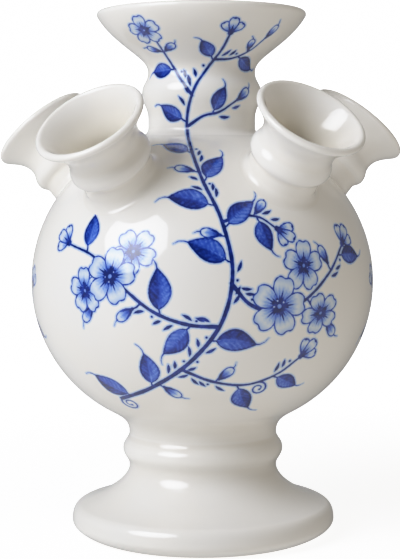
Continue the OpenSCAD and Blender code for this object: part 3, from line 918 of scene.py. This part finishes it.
def front_branch(brush):
    """The branch that climbs the front, from low on the globe to the bowl's lip."""
    main, right, left, low, twig, neck, bowl, rim = [drawn_stem(brush, *stem) for stem in (
        (((-35, 69), (-21, 76), (-5, 88), (8, 105), (12.5, 126), (8, 147), (0, 164), (-5.5, 180), (-6.5, 191),
          (-3.5, 203), (2.5, 212.5), (9, 220.5), (12.5, 226.5)), 0.98, 0.5),
        (((12, 121), (20, 112), (31, 109), (43, 113), (54, 124), (60, 135)), 0.82, 0.42),
        (((7, 103), (-6, 104), (-20, 109), (-33, 119), (-45, 131), (-56, 136)), 0.82, 0.42),
        (((-9, 84.5), (4, 79), (18, 77), (31, 81), (41, 88)), 0.74, 0.4),
        (((8.3, 146), (16, 148.5), (24, 147.8), (30.5, 143.5)), 0.66, 0.36),
        (((-6.2, 187), (0.5, 191.5), (8, 193.5), (15.5, 198.5)), 0.62, 0.36),
        (((-4.2, 200.5), (-9, 207.5), (-13.5, 215), (-19, 223), (-24.5, 230)), 0.62, 0.36),
        (((5.5, 216.3), (13.5, 217), (21.5, 220.5), (28, 225.5)), 0.54, 0.32),
    )]

    grow(brush, main, (0.035, 122, 2, leaf, 17, 0.05), (0.095, 60, 2.5, leaf, 15, -0.06, 0.9),
         (0.11, -78, 3, bud, 8.5))
    curl(brush, main.spot(0.0)[0], 200, 12, 1)
    grow(brush, main, (0.255, -62, 2.5, leaf, 17, 0.07), (0.47, -62, 3, leaf, 15, 0.04, 0.95),
         (0.40, 60, 3, leaf, 17, -0.05), (0.455, 66, 3, bud, 8), (0.515, 58, 3, leaf, 17, -0.07),
         (0.575, -46, 3, leaf, 15, 0.05, 0.95), (0.60, 58, 3, bud, 8), (0.665, 48, 2.5, leaf, 13.5, -0.04),
         (0.79, 62, 3, leaf, 12, 0.04), (0.925, 60, 2.5, leaf, 11, 0.0, 0.95), (1.0, 6, 0.5, side_bloom, 9))
    trim(brush, main, (0.14, 0.25, 6, 1), (0.15, 0.225, 4, -1), (0.33, 0.39, 4, -1), (0.535, 0.565, 3, -1),
         (0.56, 0.585, 2, 1), (0.63, 0.675, 3, -1), (0.82, 0.845, 2, 1), (0.86, 0.905, 3, 1))

    grow(brush, right, (0.55, -74, 17, bud, 8.5), (0.93, -52, 2.5, leaf, 14, 0.05), (0.80, 74, 4, bud, 8))
    open_blooms(brush, 0.0, (50, 107, 11, 40, 0.82, 20), (42.5, 127.5, 11.5, 12, 0.9, 70),
                (32, 111, 13.2, 76))
    grow(brush, right, (1.0, 12, 1, side_bloom, 10.5))
    trim(brush, right, (0.06, 0.15, 3, 1), (0.78, 0.9, 3, -1))

    grow(brush, left, (0.15, 58, 2.5, leaf, 15, 0.05, 0.9), (0.31, -62, 2.5, leaf, 17, -0.05),
         (0.44, 70, 5, bud, 8.5), (0.86, -70, 3, leaf, 13.5, -0.05, 0.9), (0.64, 92, 17, bud, 8.5))
    open_blooms(brush, 0.0, (-49.5, 117, 10.5, 24, 0.84, 110), (-28.5, 134, 11, 50, 0.92, 30),
                (-38.5, 123.5, 13, 8, 0.94, 60))
    grow(brush, left, (1.0, -10, 1.5, side_bloom, 10.5))
    trim(brush, left, (0.05, 0.15, 4, -1), (0.24, 0.4, 4, 1))

    grow(brush, low, (0.28, 62, 2.5, bud, 8), (0.46, -60, 2.5, leaf, 15, -0.05),
         (0.76, -56, 2.5, leaf, 13, 0.0, 0.9), (1.0, 8, 1, side_bloom, 10))
    curl(brush, low.spot(0.62)[0], 48, 11, -1)
    trim(brush, low, (0.1, 0.3, 4, -1), (0.78, 0.92, 3, 1))

    grow(brush, twig, (0.58, 60, 2, bud, 7.5), (0.62, -58, 2.5, leaf, 13, -0.04),
         (1.0, 6, 1, side_bloom, 9.5))
    trim(brush, twig, (0.7, 0.86, 2, 1))

    grow(brush, neck, (0.5, 56, 2, leaf, 11, 0.04), (1.0, 4, 1, bud, 7.5))
    trim(brush, neck, (0.6, 0.86, 2, -1))

    grow(brush, bowl, (0.38, 60, 2, leaf, 11.5, 0.0, 0.95), (0.62, -58, 2, bud, 7), (0.60, 66, 2, bud, 6.5))
    trim(brush, bowl, (0.12, 0.3, 3, -1))
    open_blooms(brush, 0.0, (-25, 228.5, 9.2, 20, 0.9, 30))

    grow(brush, rim, (0.45, -58, 2, leaf, 11, -0.04), (0.62, 58, 2, bud, 6.5), (1.0, 8, 1, bud, 7.5))
    trim(brush, rim, (0.12, 0.4, 3, 1))


def side_spray(brush, turn, hand):
    """A smaller spray for the sides and the back, turned round the axis."""
    turn = math.radians(turn)

    def drawn(knots, thick, thin):
        return drawn_stem(brush, [(hand * x, z) for x, z in knots], thick, thin, turn)

    main = drawn(((-20, 68), (-9, 77), (0, 90), (4, 106), (-2, 122), (-13, 134)), 0.86, 0.42)
    arm = drawn(((1.5, 93), (11, 96), (21, 104), (27, 115)), 0.66, 0.36)
    grow(brush, main, (0.05, hand * 70, 2, leaf, 15, -0.05), (0.17, hand * -64, 2.5, leaf, 16, 0.05),
         (0.33, hand * 58, 2.5, bud, 8), (0.60, hand * 62, 2.5, leaf, 15, 0.0, 0.9),
         (0.72, hand * -60, 3, bud, 8))
    grow(brush, arm, (0.45, hand * -62, 2.5, leaf, 14, 0.05), (1.0, hand * 10, 1, side_bloom, 10))
    open_blooms(brush, turn, (hand * 7, 124, 10.5, 10, 0.9, 20), (hand * -2, 114, 12.5, 35, 0.95, 40))
    grow(brush, main, (1.0, hand * 8, 1, side_bloom, 10))
    curl(brush, main.spot(0.0)[0], 200 if hand > 0 else -20, 10, -hand)
    trim(brush, main, (0.22, 0.3, 3, -hand))
    trim(brush, arm, (0.12, 0.34, 3, hand))


def painted_branch(form):
    brush = Brush(Side(form))
    front_branch(brush)
    for turn, hand in ((-96, 1), (97, -1), (178, 1)):
        side_spray(brush, turn, hand)
    return brush


def pick_faces(piece, brush, within, lines_only):
    """Selects the piece's square faces near the brushwork, in edit mode, and says how many."""
    bpy.ops.object.mode_set(mode="EDIT")
    bpy.ops.mesh.select_mode(type="FACE")
    bpy.ops.mesh.select_all(action="DESELECT")
    mesh = bmesh.from_edit_mesh(piece.data)
    centres = np.array([f.calc_center_median() for f in mesh.faces]) / MM
    a, s, r, painted = brush.side.reading(centres)
    line, _, fill, _ = brush.lay(a, s, r)
    near = np.minimum(line, abs(fill) if lines_only else fill) < within
    for face, pick in zip(mesh.faces, near & painted):
        if pick and len(face.verts) == 4:
            face.select_set(True)
    bmesh.update_edit_mesh(piece.data)
    return int((near & painted).sum())


def refined(piece, brush, rounds, true_shape):
    """Cuts the faces under the brushwork finer, and sets their new corners on the true outline. A round says
    within how many millimetres, whether along outlines only, and with how many cuts."""
    take(piece)
    for within, lines_only, cuts in rounds:
        if pick_faces(piece, brush, within, lines_only):
            bpy.ops.mesh.subdivide(number_cuts=cuts, smoothness=0)
        bpy.ops.object.mode_set(mode="OBJECT")
        points = points_of(piece.data)
        piece.data.vertices.foreach_set("co", (true_shape(points) * MM).astype(np.float32).ravel())
    piece.data.update()


def brushed(piece, brush):
    """Lays the brushwork down on the piece's points."""
    points = points_of(piece.data)
    a, s, r, painted = brush.side.reading(points)
    line, ink, fill, tone = brush.lay(a, s, r)
    line[~painted], fill[~painted] = FAR, FAR
    for name, values in (("stroke", line), ("ink", ink), ("shape", fill), ("tone", tone)):
        keep(piece.data, name, values)


# Finishes


def feed(tree, node, inputs):
    """Gives a node its inputs, each as a link or as a value."""
    for key, value in dict(inputs).items():
        if isinstance(value, bpy.types.NodeSocket):
            tree.links.new(value, node.inputs[key])
        else:
            node.inputs[key].default_value = value


def put(tree, kind, setup=(), inputs=()):
    made = tree.nodes.new(kind)
    for key, value in dict(setup).items():
        setattr(made, key, value)
    feed(tree, made, inputs)
    return made


def maths(tree, operation, *values, clamp=False):
    made = put(tree, "ShaderNodeMath", {"operation": operation, "use_clamp": clamp}, enumerate(values))
    return made.outputs[0]


def vectors(tree, operation, inputs, output=0):
    return put(tree, "ShaderNodeVectorMath", {"operation": operation}, inputs).outputs[output]


def remap(tree, value, low, high, to_low=0.0, to_high=1.0, ease="SMOOTHSTEP"):
    return put(
        tree, "ShaderNodeMapRange", {"interpolation_type": ease},
        {"Value": value, "From Min": low, "From Max": high, "To Min": to_low, "To Max": to_high},
    ).outputs["Result"]


def noise(tree, where, scale, detail=2.0, roughness=0.5):
    return put(tree, "ShaderNodeTexNoise", {}, {"Vector": where, "Scale": scale, "Detail": detail,
                                                "Roughness": roughness}).outputs["Fac"]


def blend(tree, amount, a, b, way="MIX"):
    return put(tree, "ShaderNodeMix", {"data_type": "RGBA", "blend_type": way},
               {"Factor": amount, 6: a, 7: b}).outputs[2]


def bump_map(tree, height, distance, strength=1.0, **under):
    inputs = {"Strength": strength, "Distance": distance, "Height": height, **under}
    return put(tree, "ShaderNodeBump", {}, inputs).outputs[0]


def attribute(tree, name):
    return put(tree, "ShaderNodeAttribute", {"attribute_name": name}).outputs["Fac"]


def rgba(colour, share=1.0):
    return (*(min(1.0, share * c) for c in colour), 1.0)


def start_material(name, kind="ShaderNodeBsdfPrincipled"):
    made = bpy.data.materials.new(name)
    made.use_nodes = True
    tree = made.node_tree
    tree.nodes.clear()
    shader = put(tree, kind)
    put(tree, "ShaderNodeOutputMaterial", {}, {"Surface": shader.outputs[0]})
    return made, tree, shader, put(tree, "ShaderNodeTexCoord").outputs["Object"]


def glaze_colour(tree, where):
    """White glaze that drifts a little, thicker and with painted shade in the grooves, and thinner on the
    ridges.
    """
    f = settings().finish
    drift = noise(tree, where, 16.0, 3.0)
    base = blend(tree, remap(tree, drift, 0.35, 0.65), rgba(f.glaze), rgba(f.glaze_cool))
    gather_and_shade = attribute(tree, "gather_and_shade")
    # Painted shade: grooves and coves darken toward the gathered colour, partly thicker glaze and partly
    # painted shade
    base = blend(tree, remap(tree, gather_and_shade, 0.0, -1.0, 0.0, 0.55), base, rgba(f.glaze_deep_and_shade))
    base = blend(tree, remap(tree, gather_and_shade, -0.6, -2.0), base, rgba(f.throat))
    return blend(tree, remap(tree, gather_and_shade, 0.15, 1.0, 0.0, 0.6), base, rgba(f.glaze_thin))


def glaze_gloss(tree, shader, where):
    """A glossy skin with a slow ripple and a fine peel."""
    ripple = bump_map(tree, noise(tree, where, 34.0, 1.0), 0.00028)
    feed(tree, shader, {
        "IOR": 1.52, "Coat Weight": 0.12, "Coat Roughness": 0.035,
        "Roughness": remap(tree, noise(tree, where, 46.0, 3.0), 0.3, 0.7, 0.035, 0.075),
        "Normal": bump_map(tree, noise(tree, where, 420.0, 2.0), 0.000007, Normal=ripple),
        "Coat Normal": ripple,
    })


def glaze_material():
    made, tree, shader, where = start_material("white_glaze")
    feed(tree, shader, {"Base Color": glaze_colour(tree, where)})
    glaze_gloss(tree, shader, where)
    return made


def painted_material():
    """The glaze with cobalt brushed under it, darker where the brush was full, bleeding a little into it."""
    made, tree, shader, where = start_material("painted_glaze")
    waver = maths(tree, "MULTIPLY_ADD", noise(tree, where, 850.0, 2.0), 0.34, -0.17)
    stroke = maths(tree, "ADD", attribute(tree, "stroke"), waver)
    shape = maths(tree, "ADD", attribute(tree, "shape"), waver)
    in_stroke, in_wash = remap(tree, stroke, 0.16, -0.12), remap(tree, shape, 0.16, -0.12)
    load = remap(tree, noise(tree, where, 330.0, 4.0, 0.62), 0.25, 0.75, 0.72, 1.22, "LINEAR")
    rim = remap(tree, shape, -1.0, -0.1, 1.0, 1.4)
    wash = maths(tree, "MULTIPLY", maths(tree, "MULTIPLY", attribute(tree, "tone"), rim), in_wash)
    bleed = remap(tree, stroke, 1.0, 0.0, 0.0, 0.17)
    mark = maths(tree, "MULTIPLY", attribute(tree, "ink"), maths(tree, "MAXIMUM", in_stroke, bleed))
    depth = maths(tree, "MULTIPLY", maths(tree, "MAXIMUM", wash, mark), load, clamp=True)
    full = settings().finish.cobalt
    ramp = put(tree, "ShaderNodeValToRGB", {}, {"Fac": depth})
    stops = (0.0, 0.07, 0.18, 0.36, 0.58, 0.8, 1.0)
    while len(ramp.color_ramp.elements) < len(stops):
        ramp.color_ramp.elements.new(0.5)
    for element, at in zip(ramp.color_ramp.elements, stops):
        element.position = at
    for element, at in zip(ramp.color_ramp.elements, stops):
        element.color = rgba([c ** at**late for c, late in zip(full, THIN_WASH)])
    painted = blend(tree, 1.0, glaze_colour(tree, where), ramp.outputs["Color"], "MULTIPLY")
    feed(tree, shader, {"Base Color": painted})
    glaze_gloss(tree, shader, where)
    return made


def clay_material():
    """Bare fired clay, worn smoother and a little soiled where the vase stands on it."""
    made, tree, shader, where = start_material("bare_clay")
    clay = settings().finish.clay
    grain, soil = noise(tree, where, 900.0, 4.0, 0.6), noise(tree, where, 60.0, 3.0)
    base = blend(tree, remap(tree, grain, 0.35, 0.65), rgba(clay), rgba(clay, 1.12))
    feed(tree, shader, {
        "Base Color": blend(tree, remap(tree, soil, 0.55, 0.75, 0.0, 0.6), base, rgba(clay, 0.72)),
        "Roughness": remap(tree, soil, 0.3, 0.7, 0.7, 0.9),
        "Normal": bump_map(tree, grain, 0.00008, 0.6),
    })
    return made


def paper_material():
    """Pale paper that glows brighter away from the vase."""
    made, tree, shader, where = start_material("studio_paper")
    paper = settings().finish.paper
    tone = remap(tree, noise(tree, where, 3.0, 2.0), 0.3, 0.7)
    reach = vectors(tree, "LENGTH", {0: where}, "Value")
    feed(tree, shader, {
        "Base Color": blend(tree, tone, rgba(paper), rgba(paper, 0.985)),
        "Roughness": 0.9, "Specular IOR Level": 0.1, "Emission Color": (1.0, 1.0, 1.0, 1.0),
        "Emission Strength": remap(tree, reach, 0.05, 0.9, 0.85, 2.0),
    })
    return made


def backdrop_material():
    made, tree, shader, _ = start_material("white_backdrop", "ShaderNodeEmission")
    feed(tree, shader, {"Color": (1.0, 1.0, 1.0, 1.0), "Strength": 2.5})
    return made


def octabox_material():
    """Lamp cloth that is brightest in its middle."""
    made, tree, shader, where = start_material("octabox_cloth", "ShaderNodeEmission")
    lamp = settings().stage.lamp
    reach = vectors(tree, "LENGTH", {0: where}, "Value")
    feed(tree, shader, {"Color": (0.97, 1.0, 1.075, 1.0),
                        "Strength": remap(tree, reach, 0.0, OCTABOX_RADIUS, 1.4 * lamp, 0.82 * lamp)})
    return made


def material(name, make):
    return bpy.data.materials.get(name) or make()


# Operators


def toward(bearing, rise):
    """The direction at a bearing to the right of the front and a rise, in degrees."""
    bearing, rise = math.radians(bearing), math.radians(rise)
    return Vector((math.sin(bearing) * math.cos(rise), -math.cos(bearing) * math.cos(rise), math.sin(rise)))


class VASE_OT_foot(bpy.types.Operator):
    """Turns the pedestal foot and leaves its resting ring bare"""

    bl_idname = "tulip_vase.foot"
    bl_label = "Pedestal foot"

    def execute(self, context):
        form = Form()
        outline = form.foot_outline()
        piece = turned("glazed_foot", outline, 192)
        gather_and_shade_on(piece.data, outline, section(points_of(piece.data)))
        finish_piece(piece, ["pedestal_foot"], "glaze", material("white_glaze", glaze_material),
                     material("bare_clay", clay_material))
        for face in piece.data.polygons:
            inside = math.hypot(face.center.x, face.center.y) < (form.foot["ring"] + 0.9) * MM
            if face.center.z < 0.6 * MM and inside:
                face.material_index = 1
        return {"FINISHED"}


class VASE_OT_globe(bpy.types.Operator):
    """Turns the hollow globe, opens it under the spouts and brushes the branch on it"""

    bl_idname = "tulip_vase.globe"
    bl_label = "Painted globe"

    def execute(self, context):
        form = Form()
        piece = turned("painted_globe", form.globe_outline(), 200)
        clear_selection()
        for i, name in enumerate(SPOUT_NAMES):
            seat, axis = form.seat("right" in name)
            spin = to_bearing(i)
            lean = spin @ Vector(axis).to_track_quat("Z", "Y").to_matrix().to_4x4()
            bpy.ops.mesh.primitive_cylinder_add(
                vertices=72, radius=form.spout_bore * MM, depth=24 * MM, location=spin @ Vector(seat * MM),
                rotation=lean.to_euler(),
            )
            named("bore_" + name)
        for name in SPOUT_NAMES:
            bpy.data.objects["bore_" + name].select_set(True)
        bpy.ops.object.join()
        cutter = bpy.context.object
        take(piece)
        cut = piece.modifiers.new("bores", "BOOLEAN")
        cut.operation, cut.solver, cut.object = "DIFFERENCE", "EXACT", cutter
        bpy.ops.object.modifier_apply(modifier=cut.name)
        bpy.data.objects.remove(cutter, do_unlink=True)

        def on_globe(points):
            outside = abs(form.from_globe(points)[2]) < 0.3
            points[outside] = form.onto_globe(points[outside])
            return points

        brush = painted_branch(form)
        refined(piece, brush, ((1.75, False, 2), (0.6, True, 1)), on_globe)
        brushed(piece, brush)
        bpy.ops.object.shade_smooth_by_angle(angle=SMOOTH)
        points = points_of(piece.data)
        true = np.empty(len(points) * 3, np.float32)
        piece.data.vertices.foreach_get("normal", true)
        true = true.reshape(-1, 3)
        spoke, _, out = form.from_globe(points)
        outside = abs(out) < 0.05
        true[outside] = spoke[outside] / np.linalg.norm(spoke[outside], axis=1)[:, None]
        piece.data.normals_split_custom_set_from_vertices(true)
        keep(piece.data, "gather_and_shade", np.zeros(len(points)))
        finish_piece(piece, ["globe"], "glaze", material("painted_glaze", painted_material))
        return {"FINISHED"}


class VASE_OT_neck(bpy.types.Operator):
    """Turns the ringed neck with its bowl and brushes the branch's top on it"""

    bl_idname = "tulip_vase.neck"
    bl_label = "Painted neck"

    def execute(self, context):
        form = Form()
        outline = form.neck_outline()
        piece = turned("painted_neck", rest_of(outline, 1.3), 176)
        brush = painted_branch(form)
        side = brush.side

        def on_side(points):
            r, z = section(points).T
            true = np.interp(z, side.z, side.r)
            outside = (abs(r - true) < 0.2) & (z > side.z[0]) & (z < side.z[-1] - 0.5)
            points[outside, :2] *= (true / r)[outside, None]
            return points

        refined(piece, brush, ((1.3, False, 1), (0.7, True, 1)), on_side)
        brushed(piece, brush)
        bpy.ops.object.shade_smooth_by_angle(angle=SMOOTH)
        gather_and_shade_on(piece.data, outline, section(points_of(piece.data)), True)
        finish_piece(piece, ["neck"], "glaze", material("painted_glaze", painted_material))
        return {"FINISHED"}


class VASE_OT_spouts(bpy.types.Operator):
    """Draws out one trumpet spout for each slope and sets copies of it round the globe"""

    bl_idname = "tulip_vase.spouts"
    bl_label = "Trumpet spouts"

    def execute(self, context):
        form = Form()
        sizes, slip, outline = form.spouts, form.luting["slip"], form.spout_outline()
        for lifted in (False, True):
            seat, axis, spokes, outer, inner = form.spout_frame(lifted)
            low, deep = form.down_to_globe(outer, axis, slip), form.down_to_globe(inner, axis, slip)
            start, end = sizes["groove"], outline[-1][1]
            base = [outer + (low + (start - low) * t) * axis for t in (0.0, 0.25, 0.5, 0.75)]
            body = [seat + r * spokes + s * axis for r, s in outline]
            bore = [inner + (end + (deep - end) * t) * axis for t in (0.25, 0.5, 0.75, 1.0)]
            model = ringed("glazed_spout_model", base + body + bore)
            points = points_of(model.data) - seat
            up = points @ axis
            line = thread(pt(sizes["base"], -4), outline, pt(form.spout_bore, -4))
            gather_and_shade_on(model.data, line, np.c_[np.linalg.norm(points - up[:, None] * axis, axis=1), up], True)
            set_round(model, lifted, "glazed_{}", "{}", "glaze")
        return {"FINISHED"}


class VASE_OT_lutings(bpy.types.Operator):
    """Runs the slip joints round the foot's stem, the neck and each spout"""

    bl_idname = "tulip_vase.lutings"
    bl_label = "Slip joints"

    def execute(self, context):
        form = Form()
        for name, foot in (("foot", True), ("neck", False)):
            outside, outline = form.cove(form.foot["stem"] if foot else form.neck["radius"], foot)
            piece = turned(name + "_cove", rest_of(outline, 0.6), 192 if foot else 320)
            gather_and_shade_on(piece.data, outside, section(points_of(piece.data)))
            finish = material("white_glaze", glaze_material)
            if not foot:
                brushed(piece, painted_branch(form))
                finish = material("painted_glaze", painted_material)
            finish_piece(piece, [name + "_luting"], "slip", finish)

        l = form.luting
        for lifted in (False, True):
            _, axis, spokes, outer, inner = form.spout_frame(lifted)
            corner = outer + form.down_to_globe(outer, axis) * axis
            wall = corner + l["spout_up"] * axis
            low = form.onto_globe(corner + l["spout_out"] * spokes)
            near, far = wall + 0.66 * (corner - wall), low + 0.66 * (corner - low)
            cove = bez(wall, near, far, low, 10)
            under = corner, inner + form.down_to_globe(inner, axis) * axis
            over = [ring + form.down_to_globe(ring, axis, l["slip"]) * axis for ring in (inner, outer)]
            model = ringed("spout_cove_model", [*cove, *under, *over])
            # Painted shade: each spout's whole cove takes some of the darker gathered colour, partly gathered
            # glaze and partly painted shade
            keep(model.data, "gather_and_shade", np.full(len(model.data.vertices), -0.5))
            set_round(model, lifted, "{}_cove", "{}_luting", "slip")
        return {"FINISHED"}


class VASE_OT_stage(bpy.types.Operator):
    """Sets up the pale floor, the soft lights and the camera"""

    bl_idname = "tulip_vase.stage"
    bl_label = "Studio"

    def execute(self, context):
        stage = settings().stage
        clear_selection()
        bpy.ops.mesh.primitive_circle_add(
            vertices=96, radius=FLOOR_RADIUS, fill_type="NGON", location=(0, 0, 0)
        )
        floor = named("studio_floor")
        floor.data.materials.append(material("studio_paper", paper_material))
        clear_selection()
        bpy.ops.mesh.primitive_uv_sphere_add(
            segments=64, ring_count=32, radius=DOME_RADIUS, location=(0, 0, 0)
        )
        dome = named("studio_dome")
        bpy.ops.object.shade_smooth()
        dome.data.materials.append(material("white_backdrop", backdrop_material))
        for shell in (floor, dome):
            shell.visible_diffuse = shell.visible_glossy = False
        dome.visible_shadow = dome.visible_transmission = False

        aim = Vector((0, 0, 0.13))
        place = aim + OCTABOX_AWAY * toward(OCTABOX_BEARING, OCTABOX_RISE)
        clear_selection()
        bpy.ops.mesh.primitive_circle_add(vertices=8, radius=OCTABOX_RADIUS, fill_type="NGON", location=place,
                                          rotation=(aim - place).to_track_quat("Z", "Y").to_euler())
        octabox = named("octabox")
        octabox.data.materials.append(material("octabox_cloth", octabox_material))
        octabox.visible_camera = False
        self.room_light(context, stage.room)

        bpy.ops.object.camera_add(
            location=(0, -stage.camera_back, stage.camera_up),
            rotation=(math.pi / 2 - stage.camera_tilt, stage.camera_roll, 0),
        )
        camera = named("camera")
        camera.data.sensor_fit, camera.data.sensor_height = "VERTICAL", SENSOR
        camera.data.lens = SENSOR * FOCAL / VIEW_HEIGHT
        camera.data.shift_x = VIEW_SHIFT / VIEW_HEIGHT
        camera.data.clip_start = 0.01
        context.scene.camera = camera
        self.film(context.scene.view_settings)
        return {"FINISHED"}

    def room_light(self, context, strength):
        """Soft glows of a white table and of pale warm walls"""
        world = bpy.data.worlds.new("dim_room")
        context.scene.world = world
        world.use_nodes = True
        tree = world.node_tree
        back = next(n for n in tree.nodes if n.type == "BACKGROUND")
        where = put(tree, "ShaderNodeTexCoord").outputs["Generated"]
        light = (0.0, 0.0, 0.0)
        for bearing, rise, bright, tint in ROOM:
            faces = vectors(tree, "DOT_PRODUCT", {0: where, 1: toward(bearing, rise)}, "Value")
            soft = maths(tree, "POWER", maths(tree, "MAXIMUM", faces, 0.0), 4.0)
            glow = vectors(tree, "SCALE", {0: tint, "Scale": maths(tree, "MULTIPLY", soft, bright)})
            light = vectors(tree, "ADD", {0: light, 1: glow})
        tree.links.new(light, back.inputs["Color"])
        back.inputs["Strength"].default_value = strength

    def film(self, view):
        """A soft shoulder, so that gloss on white glaze keeps its shape"""
        view.view_transform, view.look = "Standard", "None"
        view.use_curve_mapping = True
        film = view.curve_mapping
        film.clip_max_x = 2.0
        curve = film.curves[3]
        curve.points[1].location = (2.0, 1.0)
        for at in ((0.7, 0.7), (0.95, 0.87), (1.3, 0.96)):
            curve.points.new(*at)
        film.update()


class VASE_PT_panel(bpy.types.Panel):
    """Lists the vase's settings and pieces"""

    bl_idname = "VASE_PT_panel"
    bl_label = "Tulip vase"
    bl_space_type = "VIEW_3D"
    bl_region_type = "UI"
    bl_category = "Tulip vase"

    def draw(self, context):
        vase = context.scene.tulip_vase
        for key in VaseSettings.__annotations__:
            box = self.layout.box()
            box.label(text=key.capitalize())
            sizes = getattr(vase, key)
            for size in sizes.__annotations__:
                box.prop(sizes, size)
        for operator in OPERATORS:
            self.layout.operator(operator.bl_idname)


OPERATORS = (VASE_OT_foot, VASE_OT_globe, VASE_OT_neck, VASE_OT_spouts, VASE_OT_lutings, VASE_OT_stage)
CLASSES = (GlobeSizes, FootSizes, NeckSizes, SpoutSizes, LutingSizes, Finishes, StageSizes, VaseSettings,
           *OPERATORS, VASE_PT_panel)


def register():
    for kind in CLASSES:
        bpy.utils.register_class(kind)
    bpy.types.Scene.tulip_vase = bpy.props.PointerProperty(
        type=VaseSettings, name="Tulip vase", description="Sizes and colours of the tulip vase"
    )


def unregister():
    del bpy.types.Scene.tulip_vase
    for kind in reversed(CLASSES):
        bpy.utils.unregister_class(kind)


def main():
    register()
    bpy.ops.tulip_vase.foot()
    bpy.ops.tulip_vase.globe()
    bpy.ops.tulip_vase.neck()
    bpy.ops.tulip_vase.spouts()
    bpy.ops.tulip_vase.lutings()
    bpy.ops.tulip_vase.stage()
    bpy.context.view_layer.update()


if __name__ == "__main__":
    main()
